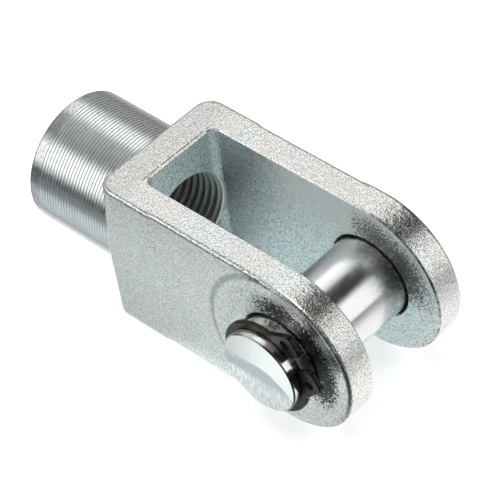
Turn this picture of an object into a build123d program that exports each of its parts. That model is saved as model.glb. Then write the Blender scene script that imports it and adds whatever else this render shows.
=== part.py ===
"""Clevis rod end: a forged and turned steel fork that screws onto a rod.

A plain clevis pin crosses the two arms, and a retaining ring snaps into a
groove near each of its ends. The pin is longer than the arms are wide, so it
turns in its holes and also slides between its two rings.

Frame: +X runs along the rod's axis, away from the rod. +Y is the pin's axis
and +Z is up. The origin is where the pin's axis crosses the rod's axis. The
fork lies on the flat underside of its body. All sizes are in millimetres.
"""
from build123d import *
from math import cos, hypot, radians, sin
import os

# ---- fork body: the flat-sided block and its two arms -----------------------
BODY_HEIGHT = 31.2  # along Z; the arms end in half rounds of this diameter
ARMS_WIDTH = 28.3  # across the outer faces of the two arms
PIN_TO_SHOULDER = 41.5  # from the pin's axis back to the turned shoulder
BODY_EDGE_RADIUS = 0.85  # rounding along the outer edges

CHEEK_RAISE = 0.25  # how far the block's sides stand proud of the arms
PIN_TO_CHEEK = 27.9  # from the pin's axis back to where the cheeks start to rise
CHEEK_RAMP_LENGTH = 1.4  # length of the slope from the arms up to the cheeks
CHEEK_EDGE_RADIUS = 3.0  # rounding at the top of that slope

BOSS_DIAMETER = 31.8  # raised round face about each pin hole, at its foot
BOSS_RAISE = 0.3  # how far that face stands proud of the arm
BOSS_WALL = 0.9  # radial width of its sloping wall

# ---- upright corners at the shoulder ------------------------------------------
CORNER_TOP_RADIUS = 3.6  # each corner is rounded most at the top,
CORNER_WAIST_RADIUS = 1.4  # least at the height of the rod's axis
CORNER_FOOT_RADIUS = 2.4  # and a little more again at the foot

# ---- slot between the arms ----------------------------------------------------
SLOT_WIDTH = 17.15
PIN_TO_SLOT_ROOT = 34.9
SLOT_CORNER_RADIUS = 1.8  # upright inner corners at the root
SLOT_RIM_CHAMFER = 0.3  # broken edge along the slot's rim

# ---- shank and its thread -----------------------------------------------------
SHANK_DIAMETER = 25.5
SHANK_LENGTH = 21.2  # from the shoulder to the free end
SHANK_END_CHAMFER = 0.45  # broken outer edge of the free end
THREAD_DIAMETER = 18.0  # nominal size of the fine thread in the bore
THREAD_COUNTERSINK = 1.0  # 45 degree countersink at the free end
THREAD_OVERRUN = 1.4  # how far the tap bites on past the slot's root, into its sides

# ---- clevis pin ---------------------------------------------------------------
PIN_DIAMETER = 16.0
PIN_HOLE_CLEARANCE = 0.05  # radial gap between the pin and its holes
PIN_HOLE_CHAMFER = 0.6
PIN_PLAY = 2.65  # how far the pin can slide between its rings
PIN_END_LAND = 1.65  # from the outer side of each groove to the pin's end
PIN_END_CHAMFER = 0.25
GROOVE_DEPTH = 0.4  # of the ring grooves, below the pin's surface
RING_SIDE_GAP = 0.05  # between a ring and each side of its groove
RING_BORE_GAP = 0.05  # between a ring and the floor of its groove
RING_FACE_GAP = 0.05  # between a ring and the boss that stops it

# ---- retaining rings ----------------------------------------------------------
RING_THICKNESS = 1.0
RING_BACK_WIDTH = 1.65  # radial width opposite the gap
RING_SIDE_WIDTH = 1.6  # radial width a quarter turn from the gap
RING_EDGE_BREAK = 0.2  # rounding along the outer edges, as the press leaves it
RING_GAP = 2.6  # between the two lugs
RING_GAP_ANGLE = 36.0  # where the gap opens, in degrees from +X towards +Z
LUG_HEIGHT = 4.05  # from the ring's bore to the top of a lug, along the gap
LUG_TIP_WIDTH = 4.3  # across the top of a lug
LUG_FOOT_ANGLE = 46.0  # from the middle of the gap to where a lug's flank meets the ring
LUG_CORNER_RADIUS = 1.3
LUG_ROOT_RADIUS = 0.6
LUG_HOLE_DIAMETER = 1.7
LUG_HOLE_HEIGHT = 1.75  # from the ring's bore to the middle of a plier hole, along the gap
LUG_HOLE_INSET = 2.8  # from the side of the gap to the middle of a plier hole

# ---- sizes that follow from the ones above -----------------------------------
HALF_HEIGHT = BODY_HEIGHT / 2
HALF_ARMS = ARMS_WIDTH / 2
HALF_CHEEKS = HALF_ARMS + CHEEK_RAISE
BOSS_FACE = HALF_ARMS + BOSS_RAISE
HALF_SLOT = SLOT_WIDTH / 2
SHOULDER_X = -PIN_TO_SHOULDER
SHANK_END_X = SHOULDER_X - SHANK_LENGTH
SLOT_ROOT_X = -PIN_TO_SLOT_ROOT
PIN_RADIUS = PIN_DIAMETER / 2
PIN_HOLE_RADIUS = PIN_RADIUS + PIN_HOLE_CLEARANCE
GROOVE_RADIUS = PIN_RADIUS - GROOVE_DEPTH
GROOVE_WIDTH = RING_THICKNESS + 2 * RING_SIDE_GAP
RING_BORE_RADIUS = GROOVE_RADIUS + RING_BORE_GAP
RING_SIDE_RADIUS = RING_BORE_RADIUS + RING_SIDE_WIDTH
RING_OFFSET = RING_BACK_WIDTH - RING_SIDE_WIDTH  # the outside's centre, away from the gap
FAR_RING_Y = BOSS_FACE + RING_FACE_GAP + RING_THICKNESS / 2
NEAR_RING_Y = -(FAR_RING_Y + PIN_PLAY)
PIN_END_REACH = GROOVE_WIDTH / 2 + PIN_END_LAND
PIN_FAR_Y = FAR_RING_Y + PIN_END_REACH
PIN_NEAR_Y = NEAR_RING_Y - PIN_END_REACH
BEYOND = BODY_HEIGHT  # how far cutting tools run past the fork
TOUCH = 0.001  # two places closer than this are one


def arm_slab(rear_x, half_width):
    """Flat bar from rear_x to the half-round arm ends, its side edges rounded."""
    with BuildSketch(Plane.XZ) as outline:
        with BuildLine():
            top = Line((rear_x, HALF_HEIGHT), (0, HALF_HEIGHT))
            tip = ThreePointArc(top @ 1, (HALF_HEIGHT, 0), (0, -HALF_HEIGHT))
            bottom = Line(tip @ 1, (rear_x, -HALF_HEIGHT))
            Line(bottom @ 1, top @ 0)
        make_face()
    slab = extrude(outline.sketch, amount=half_width, both=True)
    side_edges = [edge for edge in slab.edges() if abs(abs(edge.center().Y) - half_width) < TOUCH]
    return fillet(side_edges, BODY_EDGE_RADIUS)


def corner_section(height, radius):
    """Plan of what the +Y corner at the shoulder lacks, at one height, for a corner of that radius."""
    middle = (SHOULDER_X + radius, HALF_CHEEKS - radius)
    arc_middle = (middle[0] - radius * cos(radians(45)), middle[1] + radius * sin(radians(45)))
    outside = (SHOULDER_X - radius, HALF_CHEEKS + radius)
    with BuildSketch(Plane.XY.offset(height)) as section:
        with BuildLine():
            arc = ThreePointArc((SHOULDER_X, middle[1]), arc_middle, (middle[0], HALF_CHEEKS))
            Polyline(arc @ 1, (middle[0], outside[1]), outside, (outside[0], middle[1]), arc @ 0)
        make_face()
    return section.sketch


def corner_cutter():
    """What both upright corners at the shoulder lack, over the block's whole height."""
    waist = corner_section(0, CORNER_WAIST_RADIUS)
    top = corner_section(HALF_HEIGHT, CORNER_TOP_RADIUS)
    foot = corner_section(-HALF_HEIGHT, CORNER_FOOT_RADIUS)
    corner = loft([waist, top], ruled=True) + loft([foot, waist], ruled=True)
    return corner + mirror(corner, about=Plane.XZ)


def cheek_block():
    """Rear of the block, a little wider than the arms, its upright corners rounded."""
    ramp_top_x = -PIN_TO_CHEEK - CHEEK_RAMP_LENGTH
    inside_x = -PIN_TO_CHEEK + CHEEK_RAMP_LENGTH
    with BuildSketch(Plane.XY) as plan:
        with BuildLine():
            ramp = Line((inside_x, HALF_ARMS - CHEEK_RAISE), (ramp_top_x, HALF_CHEEKS))
            side = Line(ramp @ 1, (SHOULDER_X, HALF_CHEEKS))
            Polyline(side @ 1, (SHOULDER_X, 0), (inside_x, 0), ramp @ 0)
        make_face()
        mirror(about=Plane.XZ)
        ramp_tops = [vertex for vertex in plan.vertices() if abs(vertex.X - ramp_top_x) < TOUCH]
        fillet(ramp_tops, CHEEK_EDGE_RADIUS)
    block = extrude(plan.sketch, amount=HALF_HEIGHT, both=True) - corner_cutter()
    flat_faces = block.faces().filter_by(Axis.Z)
    return fillet(flat_faces.edges(), BODY_EDGE_RADIUS)


def pin_bosses():
    """Raised round faces about the pin holes, one on the outside of each arm."""
    disc = extrude(Plane.XZ * Circle(BOSS_DIAMETER / 2), amount=BOSS_FACE, both=True)
    disc = chamfer(disc.edges().filter_by(GeomType.CIRCLE), BOSS_RAISE, BOSS_WALL)
    return disc


def shank():
    """Turned round shank behind the shoulder, its free end chamfered."""
    inside = (PIN_TO_SHOULDER - PIN_TO_SLOT_ROOT) / 2
    length = SHANK_LENGTH + inside
    bar = Rot(0, 90, 0) * Cylinder(SHANK_DIAMETER / 2, length)
    bar = chamfer(bar.edges().group_by(Axis.X)[0], SHANK_END_CHAMFER)
    return Pos(SHANK_END_X + length / 2, 0, 0) * bar


def slot_cutter():
    """Space between the arms, open to the front, top and bottom."""
    length = BEYOND - SLOT_ROOT_X
    plan = Pos(SLOT_ROOT_X + length / 2, 0) * Rectangle(length, SLOT_WIDTH)
    plan = fillet(plan.vertices().group_by(Axis.X)[0], SLOT_CORNER_RADIUS)
    return extrude(plan, amount=BEYOND, both=True)


def is_slot_rim(edge):
    """True for the edges where the slot breaks through the fork's outside."""
    for place in (0, 0.5, 1):
        point = edge @ place
        reach = hypot(point.X, point.Z) if point.X > 0 else abs(point.Z)
        if abs(reach - HALF_HEIGHT) > TOUCH or abs(point.Y) > HALF_SLOT + TOUCH:
            return False
    return True


def threaded_bore_cutter():
    """Bore from the shank's free end into the slot, at the thread's nominal size."""
    radius = THREAD_DIAMETER / 2
    mouth_radius = radius + THREAD_COUNTERSINK
    through_x = SLOT_ROOT_X + THREAD_OVERRUN
    with BuildSketch(Plane.XY) as half:
        with BuildLine():
            Polyline(
                (SHANK_END_X - THREAD_COUNTERSINK, 0),
                (SHANK_END_X - THREAD_COUNTERSINK, mouth_radius + THREAD_COUNTERSINK),
                (SHANK_END_X + THREAD_COUNTERSINK, radius),
                (through_x, radius),
                (through_x, 0),
                close=True,
            )
        make_face()
    return revolve(half.sketch, axis=Axis.X)


def fork_body():
    """The whole fork, one forged and machined piece."""
    bar = arm_slab(SHOULDER_X + CORNER_TOP_RADIUS + CHEEK_RAISE, HALF_ARMS)
    raised_bar = arm_slab(-BOSS_DIAMETER, BOSS_FACE)
    fork = bar + cheek_block() + (raised_bar & pin_bosses())
    fork = fork - slot_cutter()
    fork = chamfer(fork.edges().filter_by(is_slot_rim), SLOT_RIM_CHAMFER)
    pin_hole = extrude(Plane.XZ * Circle(PIN_HOLE_RADIUS), amount=BEYOND, both=True)
    fork = fork - pin_hole
    hole_edges = [
        edge
        for edge in fork.edges().filter_by(GeomType.CIRCLE)
        if abs(edge.radius - PIN_HOLE_RADIUS) < TOUCH and abs(edge.arc_center.X) < TOUCH
    ]
    fork = chamfer(hole_edges, PIN_HOLE_CHAMFER)
    return fork + shank() - threaded_bore_cutter()


def clevis_pin():
    """Plain turned pin with a ring groove near each end."""
    with BuildSketch(Plane.XY) as half:
        with BuildLine():
            Polyline(
                (0, PIN_NEAR_Y),
                (PIN_RADIUS - PIN_END_CHAMFER, PIN_NEAR_Y),
                (PIN_RADIUS, PIN_NEAR_Y + PIN_END_CHAMFER),
                (PIN_RADIUS, PIN_FAR_Y - PIN_END_CHAMFER),
                (PIN_RADIUS - PIN_END_CHAMFER, PIN_FAR_Y),
                (0, PIN_FAR_Y),
                close=True,
            )
        make_face()
        for ring_y in (NEAR_RING_Y, FAR_RING_Y):
            with Locations((PIN_RADIUS, ring_y)):
                Rectangle(2 * GROOVE_DEPTH, GROOVE_WIDTH, mode=Mode.SUBTRACT)
    return revolve(half.sketch, axis=Axis.Y)


def lug_outline():
    """Flat outline of the lug on the +Y side of a gap that opens towards +X."""
    tip_x = RING_BORE_RADIUS + LUG_HEIGHT
    inner_y = RING_GAP / 2
    tip_y = inner_y + LUG_TIP_WIDTH
    foot_angle = radians(LUG_FOOT_ANGLE)
    foot_x = RING_SIDE_RADIUS * cos(foot_angle) - RING_OFFSET
    foot_y = RING_SIDE_RADIUS * sin(foot_angle)
    flank_slope = (tip_y - foot_y) / (tip_x - foot_x)
    with BuildSketch() as lug:
        with BuildLine():
            inner = Line((0, inner_y), (tip_x, inner_y))
            tip = Line(inner @ 1, (tip_x, tip_y))
            flank = Line(tip @ 1, (0, foot_y - flank_slope * foot_x))
            Line(flank @ 1, inner @ 0)
        make_face()
        fillet(lug.vertices().group_by(Axis.X)[-1], LUG_CORNER_RADIUS)
    return lug.sketch


def ring_outline():
    """Flat outline of a retaining ring, its gap opening towards +X."""
    lug = lug_outline()
    outline = Pos(-RING_OFFSET, 0) * Circle(RING_SIDE_RADIUS) + lug
    outline = outline + mirror(lug, about=Plane.XZ) - Circle(RING_BORE_RADIUS)
    gap_length = RING_BORE_RADIUS + LUG_HEIGHT
    outline = outline - Pos(gap_length / 2, 0) * Rectangle(gap_length, RING_GAP)
    for side in (1, -1):
        hole = (RING_BORE_RADIUS + LUG_HOLE_HEIGHT, side * (RING_GAP / 2 + LUG_HOLE_INSET))
        outline = outline - Pos(hole) * Circle(LUG_HOLE_DIAMETER / 2)
    return outline


def is_lug_root(edge):
    """True for the two upright edges where a lug's flank leaves the round of the ring."""
    foot = edge.center()
    on_round = abs(hypot(foot.X + RING_OFFSET, foot.Y) - RING_SIDE_RADIUS) < TOUCH
    return on_round and foot.X > 0 and abs(foot.Y) > RING_GAP


def is_outer_edge(edge):
    """True for the flat edges round the outside of a ring, not those of its bore, gap or holes."""
    middle = edge @ 0.5
    in_gap = middle.X > 0 and abs(middle.Y) < RING_GAP / 2 + TOUCH
    in_bore = hypot(middle.X, middle.Y) < RING_BORE_RADIUS + TOUCH
    in_hole = edge.geom_type == GeomType.CIRCLE and abs(edge.radius - LUG_HOLE_DIAMETER / 2) < TOUCH
    return not (in_gap or in_bore or in_hole)


def retaining_ring(middle_y):
    """Sprung ring with two lugs, snapped into the groove at middle_y."""
    flat = extrude(ring_outline(), amount=RING_THICKNESS / 2, both=True)
    upright = flat.edges().filter_by(Axis.Z)
    flat = fillet(upright.filter_by(is_lug_root), LUG_ROOT_RADIUS)
    level = flat.edges().filter_by(Plane.XY)
    flat = chamfer(level.filter_by(is_outer_edge), RING_EDGE_BREAK)
    return Pos(0, middle_y, 0) * Rot(90, 0, 0) * Rot(0, 0, RING_GAP_ANGLE) * flat


def main():
    os.makedirs("parts", exist_ok=True)
    nodes = {
        "fork_body": fork_body(),
        "clevis_pin": clevis_pin(),
        "near_retaining_ring": retaining_ring(NEAR_RING_Y),
        "far_retaining_ring": retaining_ring(FAR_RING_Y),
    }
    for name, solid in nodes.items():
        export_step(solid, f"parts/{name}.step")


main()
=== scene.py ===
# %% [markdown]
# # Clevis rod end
#
# A forged steel fork that screws onto the end of a rod, with a clevis pin across its two arms and a
# black retaining ring near each end of the pin. The solids come from the CAD model. This script gives
# them their finish: the grainy zinc plate on the forging, the turned rings on the shank, the thread in
# the bore, the bright ground pin and the oily black rings.
#
# Everything is in metres and in the CAD model's own axes: +X runs along the rod towards the fork's tip,
# +Y along the pin and +Z up, with the origin where the pin's axis crosses the rod's.

import math

import bmesh
import bpy
from mathutils import Matrix, Vector


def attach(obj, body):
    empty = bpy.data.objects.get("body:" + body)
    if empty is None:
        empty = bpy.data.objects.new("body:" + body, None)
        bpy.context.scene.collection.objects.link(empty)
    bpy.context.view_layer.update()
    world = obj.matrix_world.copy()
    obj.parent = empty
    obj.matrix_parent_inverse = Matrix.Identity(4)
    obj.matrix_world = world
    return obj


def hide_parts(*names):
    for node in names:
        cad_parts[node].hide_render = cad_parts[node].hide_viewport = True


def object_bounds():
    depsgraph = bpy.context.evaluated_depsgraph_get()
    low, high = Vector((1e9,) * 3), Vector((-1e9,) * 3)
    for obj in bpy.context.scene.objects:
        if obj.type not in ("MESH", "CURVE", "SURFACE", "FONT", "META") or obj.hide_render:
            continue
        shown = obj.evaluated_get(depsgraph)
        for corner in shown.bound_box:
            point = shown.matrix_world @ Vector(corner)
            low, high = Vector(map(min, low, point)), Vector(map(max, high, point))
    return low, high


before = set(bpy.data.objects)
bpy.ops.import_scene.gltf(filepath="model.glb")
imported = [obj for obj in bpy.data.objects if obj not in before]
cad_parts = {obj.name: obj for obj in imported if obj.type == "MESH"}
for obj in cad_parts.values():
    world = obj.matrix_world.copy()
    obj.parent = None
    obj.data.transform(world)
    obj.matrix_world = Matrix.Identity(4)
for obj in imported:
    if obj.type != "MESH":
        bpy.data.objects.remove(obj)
cad_low, cad_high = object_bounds()
MM = 0.001
bpy.context.scene.view_settings.view_transform = "Standard"  # colours come out as they are written
print("CAD nodes:", sorted(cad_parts))
print("CAD box in mm:", [round(c / MM, 2) for c in (*cad_low, *cad_high)])

# %% [markdown]
# ## Camera
#
# A long lens from about 45 degrees above and 40 degrees round to the side shows the top of the fork, its
# near side and the end of the pin in one view. A long lens keeps the arms nearly parallel. The place is
# worked out from an azimuth, an elevation and a distance to a target, because these are easier to change
# one at a time than a location and three rotations.

# %% Camera
CAMERA_AZIMUTH = math.radians(41.623)  # from +X towards -Y
CAMERA_ELEVATION = math.radians(44.526)
CAMERA_ROLL = math.radians(-8.046)
CAMERA_DISTANCE = 445.852 * MM
CAMERA_TARGET = Vector((-22.286, 0.0, 2.055)) * MM
LENS_MM = 192.163
SENSOR_MM = 36.0

away = Vector(
    (
        math.cos(CAMERA_ELEVATION) * math.cos(CAMERA_AZIMUTH),
        -math.cos(CAMERA_ELEVATION) * math.sin(CAMERA_AZIMUTH),
        math.sin(CAMERA_ELEVATION),
    )
)
camera = bpy.data.objects.new("camera", bpy.data.cameras.new("camera"))
bpy.context.scene.collection.objects.link(camera)
camera.data.lens = LENS_MM
camera.data.sensor_width = SENSOR_MM
camera.data.clip_start = 10 * MM
camera.data.clip_end = 20.0
level_right = (-away).cross(Vector((0, 0, 1))).normalized()
level_up = level_right.cross(-away)
right = math.cos(CAMERA_ROLL) * level_right + math.sin(CAMERA_ROLL) * level_up
up = -math.sin(CAMERA_ROLL) * level_right + math.cos(CAMERA_ROLL) * level_up
facing = Matrix((right, up, away)).transposed().to_4x4()
camera.matrix_world = Matrix.Translation(CAMERA_TARGET + CAMERA_DISTANCE * away) @ facing
bpy.context.scene.camera = camera
print("camera at", [round(c, 4) for c in camera.matrix_world.translation])

# %% [markdown]
# ## Helpers for node trees
#
# Every finish is a small node tree. `add_node` makes a node and sets its sockets by name, where a value
# may also be another node's output, which it then links. That keeps each material readable as a list.
# The others are the few sums that come back in every tree: a product, a soft step from one value to
# another, a mix of two colours, and the place and the facing of the point that is being shaded.


# %% Helpers for node trees
def add_node(tree, kind, settings=None, **sockets):
    """A new node with its properties from settings and its input sockets from sockets."""
    made = tree.nodes.new(kind)
    for key, value in (settings or {}).items():
        setattr(made, key, value)
    for key, value in sockets.items():
        name = key.replace("_", " ")
        socket = made.inputs[int(key[1:])] if key[0] == "i" and key[1:].isdigit() else made.inputs[name]
        if isinstance(value, bpy.types.NodeSocket):
            tree.links.new(value, socket)
        else:
            socket.default_value = value
    return made


def math_node(tree, operation, first, second=0.5):
    """The output of one Math node. Operations on one value leave second unused."""
    return add_node(tree, "ShaderNodeMath", {"operation": operation}, i0=first, i1=second).outputs[0]


def product(tree, *values):
    """All the values multiplied together."""
    result = values[0]
    for value in values[1:]:
        result = math_node(tree, "MULTIPLY", result, value)
    return result


def vector_node(tree, operation, first, second=(0.0, 0.0, 0.0)):
    """The outputs, Vector and Value, of one Vector Math node."""
    return add_node(tree, "ShaderNodeVectorMath", {"operation": operation}, i0=first, i1=second).outputs


def soft_step(tree, value, start, end, low=0.0, high=1.0):
    """low where value is before start, high where it is past end, and a smooth rise between them."""
    made = add_node(
        tree,
        "ShaderNodeMapRange",
        {"interpolation_type": "SMOOTHSTEP", "clamp": True},
        Value=value,
        From_Min=start,
        From_Max=end,
        To_Min=low,
        To_Max=high,
    )
    return made.outputs[0]


def mixed_colour(tree, factor, first, second, way="MIX"):
    """first where factor is 0, second where it is 1; or, with MULTIPLY, first times second there."""
    settings = {"data_type": "RGBA", "blend_type": way}
    first, second = ((*c, 1.0) if isinstance(c, tuple) else c for c in (first, second))
    return add_node(tree, "ShaderNodeMix", settings, i0=factor, i6=first, i7=second).outputs[2]


def object_parts(tree):
    """X, Y and Z of the object's own coordinates."""
    place = add_node(tree, "ShaderNodeTexCoord").outputs["Object"]
    return add_node(tree, "ShaderNodeSeparateXYZ", Vector=place).outputs


def normal_parts(tree):
    """X, Y and Z of the way the face looks, in the object's own axes."""
    normal = add_node(tree, "ShaderNodeTexCoord").outputs["Normal"]
    return add_node(tree, "ShaderNodeSeparateXYZ", Vector=normal).outputs


def cosine(degrees):
    """The cosine of an angle in degrees."""
    return math.cos(math.radians(degrees))


# %% [markdown]
# ## Studio light
#
# Polished metal shows the room more than its own colour, so the room is what has to be designed. The
# world here is a soft grey studio that changes with direction: a pale ceiling at the back, a dark
# ceiling over the front, and bright low screens ahead and to the left, whose edges draw the streaks on
# the pin and the shank. It could be built from real lamps and cards, but a direction-based world gives
# the same reflections with no noise and nothing to keep out of view.


# %% Studio world
def direction(elevation, azimuth):
    """Unit vector from degrees above the horizon and degrees from +X towards +Y."""
    e = math.radians(elevation)
    a = math.radians(azimuth)
    return Vector((math.cos(e) * math.cos(a), math.cos(e) * math.sin(a), math.sin(e)))


world = bpy.data.worlds.new("studio")
bpy.context.scene.world = world
world.use_nodes = True
studio = world.node_tree
studio.nodes.clear()
toward = add_node(studio, "ShaderNodeTexCoord").outputs["Generated"]
height = add_node(studio, "ShaderNodeSeparateXYZ", Vector=toward).outputs["Z"]


def soft_patch(elevation, azimuth, inner, outer, level):
    """Light around one direction: all of level within inner degrees, none beyond outer degrees."""
    nearness = vector_node(studio, "DOT_PRODUCT", toward, direction(elevation, azimuth))["Value"]
    return soft_step(studio, nearness, cosine(outer), cosine(inner), 0.0, level)


def low_screen(azimuth, half_width, edge, bottom, top, level):
    """A bright upright card: level within half_width degrees of azimuth, from bottom to top in elevation."""
    flat = vector_node(studio, "MULTIPLY", toward, (1.0, 1.0, 0.0))["Vector"]
    heading = vector_node(studio, "NORMALIZE", flat)["Vector"]
    nearness = vector_node(studio, "DOT_PRODUCT", heading, direction(0, azimuth))["Value"]
    across = soft_step(studio, nearness, cosine(half_width + edge), cosine(half_width))
    rise = soft_step(studio, height, *[math.sin(math.radians(e)) for e in bottom])
    fall = soft_step(studio, height, *[math.sin(math.radians(e)) for e in top], 1.0, 0.0)
    return product(studio, across, product(studio, rise, fall), level)


# %% [markdown]
# ### What hangs in the studio
#
# The room's parts are added up, over walls that are nearly black. A ray from the camera sees plain white
# instead, so that the object stands on a white page while its metal still mirrors the room.

# %% What hangs in the studio
WALL_LEVEL = 0.035
parts_of_room = [
    soft_patch(50, 130, 2, 24, 0.82),  # pale ceiling behind the fork
    soft_patch(48, -178, 18, 48, 0.27),  # greyer ceiling over the shank
    soft_patch(8, 155, 15, 60, 0.38),  # grey back wall
    soft_patch(90, 0, 10, 27, 2.2),  # lamp overhead
    soft_patch(62, -85, 12, 26, 1.15),  # pale ceiling over the camera
    soft_patch(14, -45, 10, 36, 0.35),  # faint light behind the camera, for the views from the other side
    low_screen(38, 14, 16, (-6, 3), (37, 50), 1.06),  # bright screen ahead and to the far side
    low_screen(-131, 13, 17, (-6, 16), (31, 45), 1.30),  # bright screen behind and to the near side
]
room = WALL_LEVEL
for part in parts_of_room:
    room = math_node(studio, "ADD", room, part)
backdrop = add_node(studio, "ShaderNodeLightPath").outputs["Is Camera Ray"]
shown = add_node(studio, "ShaderNodeMix", {"data_type": "FLOAT"}, Factor=backdrop, i2=room, i3=1.0).outputs[0]
sky = add_node(studio, "ShaderNodeBackground", Color=(1.0, 1.0, 1.0, 1.0), Strength=shown)
add_node(studio, "ShaderNodeOutputWorld", Surface=sky.outputs[0])
print("studio with", len(parts_of_room), "lights and cards")

# %% [markdown]
# ## Floor
#
# The fork lies on a white light table, the usual ground for a product picture. The camera sees white that
# still holds a faint shadow: part of its level is a glow and the rest is lit paint. What the metal mirrors
# is a second, uneven table. It is brightest beside the object and greyer further off, and darker on the
# near side, where nothing lights it. A gradient like that is what gives polished zinc its contrast.

# %% Table and its white
FLOOR_SIZE = 6.0
FLOOR_GLOW = 0.56  # share of the white that no shadow takes away
FLOOR_PAINT = 0.95

floor_mesh = bpy.data.meshes.new("floor")
half_floor = FLOOR_SIZE / 2
floor_corners = [(x * half_floor, y * half_floor, cad_low.z) for x, y in ((-1, -1), (1, -1), (1, 1), (-1, 1))]
floor_mesh.from_pydata(floor_corners, [], [(0, 1, 2, 3)])
floor = bpy.data.objects.new("floor", floor_mesh)
bpy.context.scene.collection.objects.link(floor)
floor_paint = bpy.data.materials.new("floor_paint")
floor_paint.use_nodes = True
tree = floor_paint.node_tree
tree.nodes.clear()
glow = add_node(tree, "ShaderNodeEmission", Color=(1.0, 1.0, 1.0, 1.0), Strength=FLOOR_GLOW)
paint = add_node(tree, "ShaderNodeBsdfDiffuse", Color=(FLOOR_PAINT, FLOOR_PAINT, FLOOR_PAINT, 1.0))
white = add_node(tree, "ShaderNodeAddShader", i0=glow.outputs[0], i1=paint.outputs[0])
print("floor at z", round(cad_low.z / MM, 2), "mm")

# %% [markdown]
# ### The table that the metal mirrors
#
# Each part of the gradient is one soft step, in millimetres from a place on the table: the bright patch
# and the grey beyond it are ovals, the near side has its own level along the rod, and two corners of the
# table are hardly lit.

# %% The bright patch and the near side
TABLE_MIDDLE = (-22 * MM, 0.0, 0.0)
TABLE_SQUEEZE = (0.55, 1.0, 0.0)  # the bright patch is longer along the rod
BRIGHT_TABLE = (25 * MM, 68 * MM, 1.05, 0.52)  # where the bright patch fades, and its levels
GREY_TABLE = (68 * MM, 150 * MM, 1.0, 0.62)  # where the grey beyond it fades again
NEAR_SIDE = (-15 * MM, -11 * MM)  # the near side's shade starts under the near arm
NEAR_SHADE = (-50 * MM, 0.0, 0.68, 0.80)  # from the shank's end of the table to the arms' end
NEAR_SPOT = (-8 * MM, -34 * MM, 0.0)  # a lit patch that the pin's end mirrors
NEAR_SPOT_GAIN = (5 * MM, 20 * MM, 1.8, 1.0)
NEAR_FOOT = (-34 * MM, -16 * MM, 1.14, 0.84)  # towards the fork's foot the near side gets darker
FAR_CORNER_X = (-42 * MM, -32 * MM)  # beside the shank the table fades out early
FAR_CORNER_Y = (-52 * MM, -34 * MM)
FAR_CORNER = 0.55
DARK_CORNER_X = (5 * MM, 15 * MM)  # ahead on the near side the table is hardly lit
DARK_CORNER_Y = (-21 * MM, -14 * MM)
DARK_CORNER = 0.14

spot = add_node(tree, "ShaderNodeTexCoord").outputs["Object"]
along, across, _ = object_parts(tree)


def oval_distance(middle, squeeze):
    """Distance of the spot from middle, each axis stretched by squeeze."""
    from_middle = vector_node(tree, "SUBTRACT", spot, middle)["Vector"]
    squeezed = vector_node(tree, "MULTIPLY", from_middle, squeeze)["Vector"]
    return vector_node(tree, "LENGTH", squeezed)["Value"]


from_table_middle = oval_distance(TABLE_MIDDLE, TABLE_SQUEEZE)
bright = soft_step(tree, from_table_middle, *BRIGHT_TABLE)
grey = soft_step(tree, from_table_middle, *GREY_TABLE)
from_spot = vector_node(tree, "DISTANCE", spot, NEAR_SPOT)["Value"]
behind = soft_step(tree, along, *FAR_CORNER_X, 1.0, 0.0)
outward = soft_step(tree, across, *FAR_CORNER_Y, FAR_CORNER - 1.0, 0.0)
near_level = product(
    tree,
    soft_step(tree, along, *NEAR_SHADE),
    soft_step(tree, from_spot, *NEAR_SPOT_GAIN),
    soft_step(tree, across, *NEAR_FOOT),
    math_node(tree, "ADD", product(tree, behind, outward), 1.0),
)
shade = soft_step(tree, across, *NEAR_SIDE, near_level, 1.0)
ahead = soft_step(tree, along, *DARK_CORNER_X)
beside = soft_step(tree, across, *DARK_CORNER_Y, 1.0, 0.0)
lit = math_node(tree, "ADD", product(tree, ahead, beside, DARK_CORNER - 1.0), 1.0)

# %% [markdown]
# ### The shade under the fork
#
# The fork keeps its own light off the table, in an oval that follows its outline. The shade is deepest
# under the solid block, and paler under the slot, where light falls through. It is also a little bluer,
# because what light gets there has come off the plated walls.

# %% The shade under the fork
SHADED_MIDDLE = (-17 * MM, 0.0, 0.0)
SHADED_SQUEEZE = (1 / (29.5 * MM), 1 / (17 * MM), 0.0)
SHADED_EDGE = (0.80, 1.05)  # of the oval's radius
UNDER_FORK = (-42 * MM, -27 * MM, 0.45, 0.85)  # from the solid block to the slot
UNDER_ACROSS = (-9.5 * MM, -1.5 * MM, 1.85, 0.90)  # times these from the near arm to the far one
WARM_WHITE = (1.0, 0.995, 0.985)
COOL_WHITE = (0.93, 1.0, 1.005)  # on the near side
DEEP_COOL = (0.86, 1.0, 1.02)  # under the fork

out = oval_distance(SHADED_MIDDLE, SHADED_SQUEEZE)
under_level = product(tree, soft_step(tree, along, *UNDER_FORK), soft_step(tree, across, *UNDER_ACROSS))
under = soft_step(tree, out, *SHADED_EDGE, under_level, 1.0)
mirrored = product(tree, bright, grey, shade, under, lit)
tint = mixed_colour(tree, soft_step(tree, across, *NEAR_SIDE, 1.0, 0.0), WARM_WHITE, COOL_WHITE)
tint = mixed_colour(tree, soft_step(tree, out, *SHADED_EDGE, 1.0, 0.0), tint, DEEP_COOL)
table_light = add_node(tree, "ShaderNodeEmission", Color=tint, Strength=mirrored)
seen = add_node(tree, "ShaderNodeLightPath").outputs["Is Camera Ray"]
ground_look = add_node(tree, "ShaderNodeMixShader", i0=seen, i1=table_light.outputs[0], i2=white.outputs[0])
add_node(tree, "ShaderNodeOutputMaterial", Surface=ground_look.outputs[0])
floor_mesh.materials.append(floor_paint)
print("floor paint has", len(tree.nodes), "nodes")

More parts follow.
